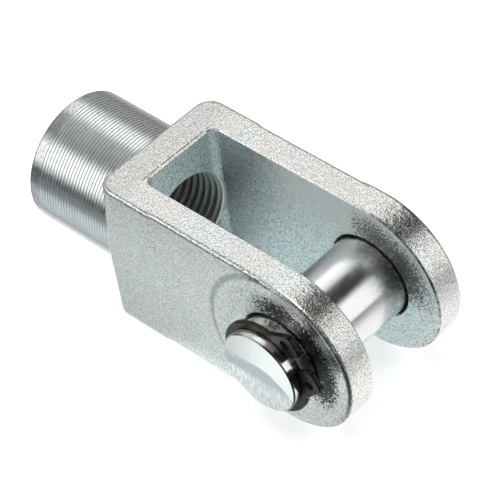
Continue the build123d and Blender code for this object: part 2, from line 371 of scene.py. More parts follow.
# %% [markdown]
# ## Finishes
#
# Nearly all the metal here is zinc plated steel, so every finish starts from one Principled shader with
# full metallic, and the duller ones take a little of that away again. What tells them apart is the
# surface: its roughness, and a bump whose grain has the size of the real one. The coordinates are the
# object's own, in metres, so a noise of scale 2000 has grains of about half a millimetre.


# %% A metal with a bump and uneven roughness
def metal(name, colour, roughness):
    """A metallic Principled material: returns the material, its node tree and the shader node."""
    made = bpy.data.materials.new(name)
    made.use_nodes = True
    nodes = made.node_tree
    nodes.nodes.clear()
    shader = add_node(
        nodes, "ShaderNodeBsdfPrincipled", Base_Color=(*colour, 1.0), Roughness=roughness, Metallic=1.0
    )
    add_node(nodes, "ShaderNodeOutputMaterial", Surface=shader.outputs[0])
    return made, nodes, shader


def grain(tree, scale, detail=2.0, distortion=0.0, stretch=None):
    """Noise from 0 to 1 in the object's own coordinates, its grains about 1 / scale metres across."""
    place = add_node(tree, "ShaderNodeTexCoord").outputs["Object"]
    if stretch:
        place = add_node(tree, "ShaderNodeMapping", Vector=place, Scale=stretch).outputs[0]
    noise = {"Vector": place, "Scale": scale, "Detail": detail, "Distortion": distortion}
    return add_node(tree, "ShaderNodeTexNoise", **noise).outputs[0]


def bump(tree, shader, height_value, distance):
    """Links a height, in units of distance metres, to the shader's normal."""
    made = add_node(tree, "ShaderNodeBump", Height=height_value, Distance=distance, Strength=1.0)
    tree.links.new(made.outputs[0], shader.inputs["Normal"])


# %% [markdown]
# ### Painted shade round the pin
#
# The metal beside the pin is painted dark, mostly towards the arm's end: painted shade and a painted dark
# reflection of the ring and the pin. The mark is a ring sector about the pin's axis. A fine noise is added
# to it before the step, so that its edge breaks up into specks, and a second one makes a few grains lighter.

# %% Painted shade round the pin
PIN_SHADE_GRAIN = 3000.0
PIN_SHADE_LIFT = 0.31  # how far the painted shade lifts the noise where it is full
PIN_SHADE_SPECKS = (0.59, 0.66)
PIN_SHADE_GAPS = (0.62, 0.70, 1.0, 0.86)
PIN_SHADE_START = (0.02, 0.2)  # no specks where there is hardly any painted shade


def about_pin(tree):
    """Distance from the pin's axis, and the direction away from it."""
    x, _, z = object_parts(tree)
    place = add_node(tree, "ShaderNodeCombineXYZ", X=x, Z=z).outputs[0]
    return vector_node(tree, "LENGTH", place)["Value"], vector_node(tree, "NORMALIZE", place)["Vector"]


def pin_painted_shade(tree, reach, fade, turn, half_spread, edge, speck_edge=PIN_SHADE_SPECKS):
    """Painted shade: 1 beside the pin and 0 beyond reach + fade, most towards turn degrees from +X to +Z, in
    specks.
    """
    from_axis, heading = about_pin(tree)
    lean = Vector((math.cos(math.radians(turn)), 0.0, math.sin(math.radians(turn))))
    toward_lean = vector_node(tree, "DOT_PRODUCT", heading, lean)["Value"]
    spread = soft_step(tree, toward_lean, cosine(half_spread + edge), cosine(half_spread))
    share = product(tree, spread, soft_step(tree, from_axis, reach, reach + fade, 1.0, 0.0))
    raised = math_node(tree, "ADD", grain(tree, PIN_SHADE_GRAIN, detail=1.0), product(tree, share, PIN_SHADE_LIFT))
    specks = soft_step(tree, raised, *speck_edge)
    shade_gaps = soft_step(tree, grain(tree, 3400.0, detail=2.0), *PIN_SHADE_GAPS)
    return product(tree, specks, shade_gaps, soft_step(tree, share, *PIN_SHADE_START))


# %% [markdown]
# ### Painted shade at the foot of the boss
#
# Each pin hole sits in a low round boss. Shade is painted in a thin ring at the boss's foot, wider above and
# behind the pin than below it.

# %% Painted shade at the foot of the boss
BOSS_FOOT = 15.75 * MM  # radius about the pin
FOOT_LINE = (0.12 * MM, 0.55 * MM)  # where the line starts to fade, and its half width
WIDER_ABOVE = (3 * MM, 14 * MM, 1.0, 1.8)
ON_CHEEK = (0.8, 0.9)  # the ring shows only on faces that look along the pin


def boss_foot_shade(tree):
    """Up to 0.8 of painted shade on a thin ring at the foot of the boss."""
    from_axis, _ = about_pin(tree)
    x, _, z = object_parts(tree)
    off = math_node(tree, "ABSOLUTE", math_node(tree, "SUBTRACT", from_axis, BOSS_FOOT))
    off = math_node(tree, "DIVIDE", off, soft_step(tree, math_node(tree, "SUBTRACT", z, x), *WIDER_ABOVE))
    sideways = math_node(tree, "ABSOLUTE", normal_parts(tree)["Y"])
    line = product(tree, soft_step(tree, off, *FOOT_LINE, 1.0, 0.0), soft_step(tree, sideways, *ON_CHEEK))
    return product(tree, line, soft_step(tree, grain(tree, 900.0), 0.25, 0.6, 0.4, 0.8))


# %% [markdown]
# ### Painted shade on edges and bends
#
# The fork is a little darker on the bridge behind the slot, and painted shade and dark reflections darken it
# down the corners at the shank's end, along the lower edges, in a patch on the bend of each arm, along the
# rim of the arm's end, and in a broken line at the slot's rear rim. Each mark is a product of soft steps, one
# for where it is and one for which way its face looks, because the edges are too narrow to paint by place
# alone. The darkest mark wins.

# %% Painted shade on edges and bends
# colour of the painted shade and dark reflections
MARK_SHADE_COLOUR = (0.12, 0.12, 0.115)
LOOKS_UP = (0.8, 0.95)
LOOKS_ALONG_PIN = (0.3, 0.6)
BRIDGE = (-37 * MM, -33.5 * MM, 0.14, 0.0)
REAR_CORNERS = (-41.25 * MM, -40.9 * MM, 0.70, 0.0)
LOWER_EDGE_X = (-12 * MM, -4 * MM, 1.0, 0.0)
LOWER_EDGE_LEAN = (-0.35, -0.12, 0.5, 0.0)  # how far its face looks down
LOWER_EDGE_OUT = (0.2, 0.4)  # and how far it looks out
BEND_START = (math.radians(57), math.radians(63))  # about the pin, from +X to +Z
BEND_END = (math.radians(68), math.radians(80), 1.0, 0.0)
BEND_WOBBLE = 0.12
BEND_SHADE = (0.3, 0.6, 0.55, 0.0)  # fades out towards the sides
ARM_RIM_INNER = (0.45, 0.6)  # of the normal along the pin, across the arm's rounded rim
ARM_RIM_OUTER = (0.72, 0.88, 1.0, 0.0)
ARM_RIM_X = (-5 * MM, 4 * MM)
SLOT_RIM_X = -35.38 * MM
SLOT_RIM_LINE = (0.05 * MM, 0.2 * MM, 1.0, 0.0)
SLOT_RIM_HALF = (8.3 * MM, 8.8 * MM, 1.0, 0.0)


def painted_shade_marks(tree, shade_colour):
    """The colour, a little darker on the bridge, with painted shade and dark reflections on edges and bends.
    """
    x, y, z = object_parts(tree)
    _, normal_y, normal_z = normal_parts(tree)
    along_pin = math_node(tree, "ABSOLUTE", normal_y)
    upward = soft_step(tree, normal_z, *LOOKS_UP)
    bridge = product(tree, soft_step(tree, x, *BRIDGE), upward)
    corner = product(tree, soft_step(tree, x, *REAR_CORNERS), soft_step(tree, along_pin, *LOOKS_ALONG_PIN))
    lower_edge = product(
        tree,
        soft_step(tree, normal_z, *LOWER_EDGE_LEAN),
        soft_step(tree, along_pin, *LOWER_EDGE_OUT),
        soft_step(tree, x, *LOWER_EDGE_X),
    )
    turn = math_node(tree, "ARCTAN2", z, x)
    turn = math_node(tree, "ADD", turn, product(tree, grain(tree, 500.0, detail=3.0), BEND_WOBBLE))
    bend = product(
        tree,
        soft_step(tree, turn, *BEND_START),
        soft_step(tree, turn, *BEND_END),
        soft_step(tree, along_pin, *BEND_SHADE),
    )
    arm_rim = product(
        tree,
        soft_step(tree, along_pin, *ARM_RIM_INNER),
        soft_step(tree, along_pin, *ARM_RIM_OUTER),
        soft_step(tree, x, *ARM_RIM_X),
        soft_step(tree, grain(tree, 900.0, detail=3.0), 0.35, 0.6, 0.25, 0.85),
    )
    from_rim = math_node(tree, "ABSOLUTE", math_node(tree, "SUBTRACT", x, SLOT_RIM_X))
    slot_rim = product(
        tree,
        soft_step(tree, from_rim, *SLOT_RIM_LINE),
        upward,
        soft_step(tree, math_node(tree, "ABSOLUTE", y), *SLOT_RIM_HALF),
        soft_step(tree, grain(tree, 1300.0, detail=2.0), 0.38, 0.46),
    )
    marks = bridge
    for mark in (corner, lower_edge, bend, arm_rim, slot_rim):
        marks = math_node(tree, "MAXIMUM", marks, mark)
    return mixed_colour(tree, marks, shade_colour, MARK_SHADE_COLOUR)


# %% [markdown]
# ### Inside the slot
#
# In the slot the plate is duller. Towards the far arm's foot the walls are painted darker, as shade. Towards
# the open end and the top they are painted paler, as light, with fewer specks, and a share of the shader that
# isn't metallic gives them a matt look.

# %% Inside the slot
# painted shade towards the far arm's foot
DEEP_X = (-34 * MM, -20 * MM, 0.36, 0.0)
DEEP_Y = (-5 * MM, 6 * MM)
DEEP_Z = (-2 * MM, 13 * MM, 1.0, 0.5)
DEEP_SHADE_COLOUR = (0.12, 0.15, 0.155)
# painted light towards the open end and top
OPEN_X = (-27 * MM, -15 * MM)
OPEN_Z = (0.0, 12 * MM)
OPEN_LIGHT_COLOUR = (0.95, 1.0, 1.0)
OPEN_SHARE = 0.9
OPEN_MATT = -0.60  # added to metallic
SLOT_SHADE_SHARE = 0.85  # the painted shade round the pin is thinner there


def deep_corner_shade(tree, shade_colour):
    """Painted shade: darkens the slot towards the far arm's foot."""
    x, y, z = object_parts(tree)
    share = product(
        tree, soft_step(tree, x, *DEEP_X), soft_step(tree, y, *DEEP_Y), soft_step(tree, z, *DEEP_Z)
    )
    return mixed_colour(tree, share, shade_colour, DEEP_SHADE_COLOUR)


def painted_light_share(tree):
    """Share of painted light: 1 towards the slot's open end and top, 0 in its depth."""
    x, _, z = object_parts(tree)
    return product(tree, soft_step(tree, x, *OPEN_X), soft_step(tree, z, *OPEN_Z))


# %% [markdown]
# ### Blasted forging
#
# The fork is forged, blasted clean and plated, which leaves a fine orange peel. Two noises make it: worms
# about 0.3 mm across that catch the light, and a slower swell under them. The same noise also darkens
# the hollows a little, because the plate is thinner and greyer there. A third noise, about as fine, adds
# specks. Round the pin the peel on the sides is deeper, and a slow noise makes the plate here a little
# yellow and there a little blue. Three finishes come from one function: the open faces, the rounded
# edges, which are rubbed smoother, and the slot's walls.

# %% Blasted forging
WORM_GRAIN = 3700.0
SWELL_GRAIN = 900.0
HOLLOWS = (0.34, 0.60, 1.0, 0.0)
COARSE_PEEL = (11.5 * MM, 15.0 * MM, 0.9, 0.0)  # how much deeper, by distance from the pin's axis
SPECKS = (0.50, 0.64)
SPECK_COLOUR = (0.25, 0.26, 0.25)
SLOT_SPECK_COLOUR = (0.16, 0.20, 0.21)
# painted shade at the foot of the boss
FOOT_SHADE_COLOUR = (0.36, 0.38, 0.37)
# painted shade and dark reflection round the pin
PIN_SHADE_COLOUR = (0.019, 0.020, 0.020)
BLUE_PLATE = (0.97, 1.0, 1.0)
YELLOW_PLATE = (1.0, 0.985, 0.955)


def coarse_peel(tree):
    """Gain of the bump: more than 1 on the sides near the pin."""
    sideways = math_node(tree, "ABSOLUTE", normal_parts(tree)["Y"])
    from_axis, _ = about_pin(tree)
    deeper = product(tree, soft_step(tree, from_axis, *COARSE_PEEL), soft_step(tree, sideways, 0.6, 0.9))
    return math_node(tree, "ADD", deeper, 1.0)


def blasted_metal(
    name,
    colour,
    hollow_colour,
    roughness,
    swell_depth,
    worm_depth,
    specks,
    speck_scale,
    metallic,
    pin_shade_place,
    outside,
):
    """Orange-peel zinc: colour on the crests, hollow_colour in the hollows, dark specks, painted shade and
    light.
    """
    made, tree, shader = metal(name, colour, roughness[0])
    shader.inputs["Metallic"].default_value = metallic
    worms = grain(tree, WORM_GRAIN, detail=2.0, distortion=0.5)
    swell = grain(tree, SWELL_GRAIN, detail=1.0)
    depth = math_node(tree, "ADD", product(tree, swell, swell_depth / worm_depth), worms)
    if outside:
        depth = product(tree, depth, coarse_peel(tree))
    bump(tree, shader, depth, worm_depth)
    shade_colour = mixed_colour(tree, soft_step(tree, worms, *HOLLOWS), colour, hollow_colour)
    if not outside:
        # painted light: paler, matt and with fewer specks towards the slot's open end and top
        painted_light = painted_light_share(tree)
        shade_colour = mixed_colour(tree, product(tree, painted_light, OPEN_SHARE), shade_colour, OPEN_LIGHT_COLOUR)
        specks = product(tree, math_node(tree, "SUBTRACT", 1.6, painted_light), specks * 0.62)
        matt = math_node(tree, "ADD", product(tree, painted_light, OPEN_MATT), metallic)
        tree.links.new(matt, shader.inputs["Metallic"])
    dark_speck = soft_step(tree, grain(tree, speck_scale, detail=1.0), *SPECKS, 0.0, specks)
    speck_colour = SPECK_COLOUR if outside else SLOT_SPECK_COLOUR
    shade_colour = mixed_colour(tree, dark_speck, shade_colour, speck_colour)
    if outside:
        # painted shade at the foot of the boss
        shade_colour = mixed_colour(tree, boss_foot_shade(tree), shade_colour, FOOT_SHADE_COLOUR)
        # painted shade and dark reflections on edges and bends, a little darker on the bridge
        shade_colour = painted_shade_marks(tree, shade_colour)
    else:
        # painted shade towards the far arm's foot
        shade_colour = deep_corner_shade(tree, shade_colour)
    patina = soft_step(tree, grain(tree, 170.0, detail=3.0), 0.35, 0.65)
    patina = mixed_colour(tree, patina, BLUE_PLATE, YELLOW_PLATE)
    shade_colour = mixed_colour(tree, 1.0, shade_colour, patina, "MULTIPLY")
    # painted shade and dark reflection round the pin, thinner in the slot
    pin_shade = product(tree, pin_painted_shade(tree, *pin_shade_place), 1.0 if outside else SLOT_SHADE_SHARE)
    shade_colour = mixed_colour(tree, pin_shade, shade_colour, PIN_SHADE_COLOUR)
    tree.links.new(shade_colour, shader.inputs["Base Color"])
    patchy = soft_step(tree, grain(tree, 260.0, detail=3.0), 0.3, 0.7, *roughness)
    tree.links.new(patchy, shader.inputs["Roughness"])
    print(name, "has", len(tree.nodes), "nodes")
    return made


# %% [markdown]
# ### The three blasted finishes
#
# The painted shade's five numbers are its reach and fade from the pin's axis, the way it leans, and its half
# spread and soft edge, the last three in degrees.

# %% The three blasted finishes
# painted shade and dark reflection round the pin, on the cheeks and on the slot's walls
CHEEK_PAINTED_SHADE = (10.6 * MM, 3.0 * MM, 38.0, 45.0, 45.0)
SLOT_PAINTED_SHADE = (10.6 * MM, 5.0 * MM, 50.0, 20.0, 44.0, (0.47, 0.76))  # its specks run together

blasted = blasted_metal(
    "blasted_zinc",
    (0.98, 0.98, 0.965),
    (0.80, 0.81, 0.80),
    roughness=(0.10, 0.14),
    swell_depth=0.00009,
    worm_depth=0.00008,
    specks=0.56,
    speck_scale=3900.0,
    metallic=1.0,
    pin_shade_place=CHEEK_PAINTED_SHADE,
    outside=True,
)
worn_edge = blasted_metal(
    "worn_edge_zinc",
    (0.96, 0.96, 0.95),
    (0.86, 0.87, 0.86),
    roughness=(0.09, 0.14),
    swell_depth=0.00006,
    worm_depth=0.00006,
    specks=0.8,
    speck_scale=4600.0,
    metallic=1.0,
    pin_shade_place=CHEEK_PAINTED_SHADE,
    outside=True,
)
slot_zinc = blasted_metal(
    "slot_zinc",
    (0.97, 1.0, 1.0),
    (0.68, 0.76, 0.78),
    roughness=(0.28, 0.36),
    swell_depth=0.00010,
    worm_depth=0.00018,
    specks=0.58,
    speck_scale=3000.0,
    metallic=0.75,
    pin_shade_place=SLOT_PAINTED_SHADE,
    outside=False,
)

# %% [markdown]
# ### Turned faces
#
# The lathe leaves fine rings round the shank. Their height depends only on the place along the axis, so
# the noise is stretched until it hardly changes the other two ways. The grooves are darker, the plain band
# at the free end is rubbed grey in patches, its last rim is brown, and low on the side that is turned from
# the light painted shade makes the plate greyer, less so at the very bottom.

# %% Turned faces
SHANK_REAR = -62.25 * MM  # where the end's chamfer stops
PLAIN_BAND = 2.2 * MM  # smooth band at the free end
RING_PITCH = 0.7 * MM
LAND_SHARE = 0.76  # of the pitch, between two grooves
# painted shade low on the side turned from the light
LOW_SIDE_SHADE = (-0.22, -0.08, 0.62, 0.0)  # of the normal's height
LOWEST_SIDE_SHADE = (-0.60, -0.42, 0.5, 1.0)  # paler again at the very bottom
GROOVE_DARK = (0.05, 0.15, 0.7, 0.0)  # in pitches from a groove's middle
BROWN_RIM = (-2.15 * MM, -1.85 * MM, 0.85, 0.0)  # from the first groove
WORN_BAND = (-0.4 * MM, 0.1 * MM, 1.0, 0.0)

turned, tree, shader = metal("turned_zinc", (0.87, 0.88, 0.885), 0.15)
bump(tree, shader, grain(tree, 1.0, detail=2.0, stretch=(9000.0, 60.0, 60.0)), 0.000008)
dull = grain(tree, 700.0, detail=3.0, stretch=(2.0, 1.0, 1.0))
tree.links.new(soft_step(tree, dull, 0.35, 0.7, 0.14, 0.23), shader.inputs["Roughness"])
greyed = soft_step(tree, grain(tree, 1500.0, detail=3.0), 0.50, 0.75)
zinc = mixed_colour(tree, greyed, (0.86, 0.89, 0.905), (0.68, 0.715, 0.73))
looks_up = normal_parts(tree)["Z"]
# painted shade low on the side turned from the light, less at the very bottom
low_side_shade = product(tree, soft_step(tree, looks_up, *LOW_SIDE_SHADE), soft_step(tree, looks_up, *LOWEST_SIDE_SHADE))
zinc = mixed_colour(tree, low_side_shade, zinc, (0.45, 0.46, 0.465))
past_band = math_node(tree, "SUBTRACT", object_parts(tree)["X"], SHANK_REAR + PLAIN_BAND)
in_pitch = math_node(tree, "FRACT", math_node(tree, "DIVIDE", past_band, RING_PITCH))
from_groove = math_node(tree, "ABSOLUTE", math_node(tree, "SUBTRACT", in_pitch, (1.0 - LAND_SHARE) / 2))
groove_dark = product(
    tree,
    soft_step(tree, from_groove, *GROOVE_DARK),
    soft_step(tree, past_band, -0.1 * MM, 0.1 * MM),
    soft_step(tree, grain(tree, 300.0), 0.2, 0.6, 0.5, 1.0),
)
worn_tone = soft_step(tree, grain(tree, 1900.0, detail=4.0), 0.40, 0.60, 1.0, 0.45)
worn_band = product(tree, soft_step(tree, past_band, *WORN_BAND), worn_tone)
zinc = mixed_colour(tree, worn_band, zinc, (0.55, 0.56, 0.57))
zinc = mixed_colour(tree, groove_dark, zinc, (0.23, 0.235, 0.235))
zinc = mixed_colour(tree, soft_step(tree, past_band, *BROWN_RIM), zinc, (0.27, 0.25, 0.22))
tree.links.new(zinc, shader.inputs["Base Color"])
print("turned_zinc has", len(tree.nodes), "nodes")

# %% [markdown]
# ### Pin
#
# The pin is ground along its length, then plated, so its side is a soft mirror. Its ends are sheared:
# above a curved edge the face is smooth, the tear just under that edge is painted dark as the shade of its
# crease, and below it the face is brushed with short strokes that painted light makes paler to one side.
# The normal tells the ends, the narrow chamfers and the side apart.

# %% Pin: its ends and their torn edge
TEAR_TOP = 1.6 * MM  # height of the curved edge on the end face
TEAR_BEND = -70.0  # per metre: how it drops towards the arm's end
TEAR_WOBBLE = 0.5 * MM
TEAR_FOOT = (-2.6 * MM, -1.0 * MM)
TEAR_BLUR = (-6 * MM, 1 * MM, 1.8 * MM, 0.3 * MM)  # the edge is crisp only on one side
END_FACE = (0.9, 0.99)  # of the normal along the pin
CHAMFER = (0.2, 0.5)

ground, tree, shader = metal("ground_zinc", (0.88, 0.885, 0.89), 0.16)
x, y, z = object_parts(tree)
looks_ahead, looks_across, _ = normal_parts(tree)
toward_end = math_node(tree, "ABSOLUTE", looks_across)
on_end = soft_step(tree, toward_end, *END_FACE)
on_side = math_node(tree, "SUBTRACT", 1.0, on_end)
on_chamfer = math_node(tree, "SUBTRACT", soft_step(tree, toward_end, *CHAMFER), on_end)
ahead_only = math_node(tree, "MAXIMUM", x, 0.0)
drop = product(tree, ahead_only, ahead_only, TEAR_BEND)
wobble = product(tree, math_node(tree, "SUBTRACT", grain(tree, 700.0), 0.5), TEAR_WOBBLE)
edge_height = math_node(tree, "ADD", math_node(tree, "ADD", drop, TEAR_TOP), wobble)
below = math_node(tree, "SUBTRACT", edge_height, z)
blur = soft_step(tree, x, *TEAR_BLUR)
under_edge = soft_step(tree, below, product(tree, blur, -0.5), blur)
torn = soft_step(tree, grain(tree, 1500.0, detail=3.0), 0.2, 0.6, 1.0, 0.75)
# painted shade of the crease under the torn edge
tear_shade = product(tree, under_edge, soft_step(tree, z, *TEAR_FOOT), torn)

# %% [markdown]
# The strokes are one stretched noise, used twice: as a bump on the end and, further down, as a tone. The
# grinding marks are another, stretched round the pin. Where the eye's side rubs, near the far arm, the
# side is a little duller.

# %% Pin: bump and roughness
STROKE_DEPTH = 9.0  # in units of the bump's distance
STEP_DOWN = -3.0  # the torn part lies lower
RUBBED_DULL = (-0.5 * MM, 6 * MM, 0.0, 0.10)

strokes = grain(tree, 1.0, detail=3.0, distortion=0.6, stretch=(2600.0, 100.0, 620.0))
end_depth = product(tree, strokes, product(tree, under_edge, on_end, STROKE_DEPTH))
end_depth = math_node(tree, "ADD", end_depth, product(tree, under_edge, STEP_DOWN))
lengthwise = grain(tree, 1.0, detail=2.0, stretch=(900.0, 5000.0, 900.0))
bump(tree, shader, math_node(tree, "ADD", end_depth, product(tree, lengthwise, on_side)), 0.000006)
patchy = soft_step(tree, grain(tree, 420.0, detail=3.0), 0.3, 0.7, 0.14, 0.18)
rubbed_dull = product(tree, soft_step(tree, y, *RUBBED_DULL), on_side)
tree.links.new(math_node(tree, "ADD", patchy, rubbed_dull), shader.inputs["Roughness"])

# %% [markdown]
# Colour comes in layers, from the plate up: mottled zinc on the side, a paler end face with painted shade
# towards the rear, the brushed part with painted light to one side and the tear's painted shade on it, a
# dark chamfer that is a painted dark reflection, a band outside the ring painted paler as light, painted
# shade on the pin beside the far arm, and painted shade in streaks beside the near ring.

# %% Pin: colours
# painted light on the land, painted shade beside the ring and by the far arm
LAND = (-18.5 * MM, -18.2 * MM, 1.0, 0.0)  # the pin's end outside the near ring
LAND_LIGHT_SIDE = (-0.55, 0.05, 0.30, 0.0)  # painted light: paler where it looks away from the arm's end
NEAR_RING_PLACE = 17.65 * MM  # place of the near ring along the pin
RING_SHADE_HALF = (0.5 * MM, 0.9 * MM, 1.0, 0.0)
WALL_SHADE = (0.5 * MM, 7.5 * MM, 0.0, 0.9)

mottle = soft_step(tree, grain(tree, 1400.0, detail=3.0), 0.50, 0.80)
zinc = mixed_colour(tree, mottle, (0.86, 0.87, 0.875), (0.78, 0.79, 0.80))
end_face = mixed_colour(tree, mottle, (0.95, 0.955, 0.95), (0.88, 0.89, 0.89))
# painted shade on the end face, darker towards the rear
end_face = mixed_colour(tree, soft_step(tree, x, -8 * MM, 2 * MM, 0.34, 0.0), end_face, (0.30, 0.31, 0.31))
# painted light: the brushed part is paler towards the rear
light_falloff = soft_step(tree, x, -5 * MM, 1 * MM)
lower = mixed_colour(tree, light_falloff, (1.0, 1.0, 0.99), (0.86, 0.88, 0.87))
lower = mixed_colour(tree, soft_step(tree, strokes, 0.38, 0.62, 0.0, 0.6), lower, (0.50, 0.53, 0.53))
end_zinc = mixed_colour(tree, under_edge, end_face, lower)
end_zinc = mixed_colour(tree, tear_shade, end_zinc, (0.45, 0.48, 0.48))
shade_colour = mixed_colour(tree, on_end, zinc, end_zinc)
# painted dark reflection on the chamfer
shade_colour = mixed_colour(tree, on_chamfer, shade_colour, (0.25, 0.25, 0.245))
# painted light: the land outside the ring is paler and less metallic
land_light = product(tree, soft_step(tree, y, *LAND), on_side, soft_step(tree, looks_ahead, *LAND_LIGHT_SIDE))
shade_colour = mixed_colour(tree, land_light, shade_colour, (1.0, 1.0, 0.99))
tree.links.new(math_node(tree, "SUBTRACT", 1.0, product(tree, land_light, 0.6)), shader.inputs["Metallic"])
# painted shade on the pin beside the far arm
wall_shade = product(
    tree,
    soft_step(tree, y, *WALL_SHADE),
    soft_step(tree, looks_ahead, -0.25, 0.2),
    soft_step(tree, grain(tree, 1300.0, detail=3.0), 0.3, 0.6, 1.0, 0.55),
)
shade_colour = mixed_colour(tree, wall_shade, shade_colour, (0.30, 0.305, 0.305))
# painted shade in streaks on the pin beside the near ring
from_ring = math_node(tree, "ABSOLUTE", math_node(tree, "ADD", y, NEAR_RING_PLACE))
streaks = grain(tree, 1.0, detail=2.0, stretch=(2600.0, 300.0, 2600.0))
streaks = soft_step(tree, streaks, 0.40, 0.58, 1.0, 0.60)
ring_shade = product(tree, soft_step(tree, from_ring, *RING_SHADE_HALF), streaks)
tree.links.new(mixed_colour(tree, ring_shade, shade_colour, (0.05, 0.05, 0.045)), shader.inputs["Base Color"])
print("ground_zinc has", len(tree.nodes), "nodes")

# %% [markdown]
# ### Bore
#
# No light reaches far into the bore, so the bore and its thread are painted dark as shade. Only the rim at
# its mouth is painted pale, like the plate.

# %% Bore
BORE_MOUTH = (-35.22 * MM, -35.05 * MM)

# painted shade: the bore's metal and its thread are dark
bore_shade_metal, tree, shader = metal("bore_shade_metal", (0.30, 0.31, 0.30), 0.50)
shader.inputs["Metallic"].default_value = 0.75
dark_tone = mixed_colour(tree, grain(tree, 900.0, detail=3.0), (0.22, 0.23, 0.22), (0.42, 0.43, 0.41))
at_mouth = soft_step(tree, object_parts(tree)["X"], *BORE_MOUTH)
tree.links.new(mixed_colour(tree, at_mouth, dark_tone, (0.95, 0.96, 0.94)), shader.inputs["Base Color"])
bump(tree, shader, grain(tree, 2500.0, detail=2.0), 0.00004)

# %% [markdown]
# ### Pin holes
#
# The pin holes are painted black as the shade in the gap round the pin, out to a ragged line near the edge
# of their chamfers.

# %% Pin holes
HOLE_EDGE = (8.45 * MM, 8.6 * MM)  # from the pin's axis
HOLE_WOBBLE = 0.5 * MM

# painted shade: the holes are black out to the ragged line
hole_shade_metal, tree, shader = metal("hole_shade_metal", (0.06, 0.06, 0.055), 0.30)
from_axis, _ = about_pin(tree)
ragged = product(tree, math_node(tree, "SUBTRACT", grain(tree, 1800.0, detail=3.0), 0.5), HOLE_WOBBLE)
past_shade = soft_step(tree, math_node(tree, "ADD", from_axis, ragged), *HOLE_EDGE)
hole_colour = mixed_colour(tree, past_shade, (0.04, 0.04, 0.037), (0.70, 0.73, 0.73))
tree.links.new(hole_colour, shader.inputs["Base Color"])
bump(tree, shader, grain(tree, 3000.0, detail=2.0), 0.00006)

# %% [markdown]
# ### Rings
#
# The rings are spring steel with a black phosphate coat, a little brown and unevenly oiled. Round their lugs
# they are painted darker, as shade.

# %% Rings
LUG_SHADE = (-1 * MM, 4 * MM, 0.0, 0.62)  # the lugs are on the rings' +X side

black, tree, shader = metal("black_spring_steel", (0.045, 0.042, 0.036), 0.26)
bump(tree, shader, grain(tree, 2200.0, detail=3.0), 0.00005)
uneven = soft_step(tree, grain(tree, 700.0, detail=2.0), 0.35, 0.65, 0.18, 0.38)
tree.links.new(uneven, shader.inputs["Roughness"])
phosphate = mixed_colour(tree, grain(tree, 1100.0, detail=3.0), (0.016, 0.015, 0.012), (0.085, 0.074, 0.058))
# painted shade round the lugs
lug_shade = soft_step(tree, object_parts(tree)["X"], *LUG_SHADE)
phosphate = mixed_colour(tree, lug_shade, phosphate, (0.012, 0.011, 0.010))
tree.links.new(phosphate, shader.inputs["Base Color"])
print("finishes:", sorted(m.name for m in bpy.data.materials))

# %% [markdown]
# ## The fork
#
# The CAD fork is right in shape, so the finished fork starts as a copy of its mesh. Three things are
# finer than the CAD model shows: the turned rings on the shank, the thread in the bore, and the grain.
# The grain is in the finishes above, and the other two are real geometry. Two helpers serve them both:
# one copies a CAD node's mesh, and the other shades a finished mesh.


# %% Copy a CAD node, and shade what comes of it

def finished_copy(node, name):
    """A copy of a CAD node's mesh in an object of its own, its split points merged: object and bmesh."""
    mesh = bpy.data.meshes.new(name)
    made = bpy.data.objects.new(name, mesh)
    bpy.context.scene.collection.objects.link(made)
    shape = bmesh.new()
    shape.from_mesh(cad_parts[node].data)
    bmesh.ops.remove_doubles(shape, verts=shape.verts, dist=1e-7)
    return made, shape


def close_finish(made, shape, sharp_degrees=30.0):
    """Writes the bmesh into its object and shades it smooth except over sharp edges."""
    for face in shape.faces:
        face.smooth = True
    limit = math.radians(sharp_degrees)
    for edge in shape.edges:
        edge.smooth = len(edge.link_faces) == 2 and edge.calc_face_angle(0.0) < limit
    shape.to_mesh(made.data)
    shape.free()
    if "custom_normal" in made.data.attributes:
        made.data.attributes.remove(made.data.attributes["custom_normal"])
    even = made.modifiers.new("flat_faces_keep_their_normal", "WEIGHTED_NORMAL")
    even.keep_sharp = True
    even.weight = 100
    print(made.name, "has", len(made.data.polygons), "faces")


# %% [markdown]
# ### Turn the shank
#
# The shank's plain wall is taken away, and a new one is turned between the two rims that are left. A
# boolean cut would do it too, but this keeps the rims' own points and so leaves a closed mesh.

# %% Take the plain wall away
SHANK_RADIUS = 12.75 * MM
SHOULDER = -41.5 * MM
NEAR = 0.02 * MM  # how close counts as on a surface

fork, fork_shape = finished_copy("fork_body", "forged_fork")


def on_shank(point):
    """True if the point lies on the shank's wall."""
    on_radius = abs(math.hypot(point.y, point.z) - SHANK_RADIUS) < NEAR
    return on_radius and SHANK_REAR - NEAR < point.x < SHOULDER + NEAR


plain_wall = [f for f in fork_shape.faces if all(on_shank(v.co) for v in f.verts)]
bmesh.ops.delete(fork_shape, geom=plain_wall, context="FACES_ONLY")


def rim_at(x):
    """Points of the open rim at x, in order round the axis."""
    found = {v for e in fork_shape.edges if len(e.link_faces) == 1 for v in e.verts}
    ring = [v for v in found if abs(v.co.x - x) < NEAR]
    return sorted(ring, key=lambda v: math.atan2(v.co.z, v.co.y))


rear_rim = rim_at(SHANK_REAR)
front_rim = rim_at(SHOULDER)
loose = [e for e in fork_shape.edges if not e.link_faces]
bmesh.ops.delete(fork_shape, geom=loose, context="EDGES")
print("rims of", len(rear_rim), "and", len(front_rim), "points")

# %% [markdown]
# The new wall is a profile of lands and grooves, carried round the axis through the points of the rear
# rim. Each land is a little rounded at its ends, so that it catches a soft line of light.

# %% Turn a new one
RING_COUNT = 26
GROOVE_DEPTH = 0.06 * MM
LIP_DEPTH = 0.06 * GROOVE_DEPTH  # where a land starts to round off
LAND_FLAT = (0.2, 0.8)  # the part of a land that stays flat


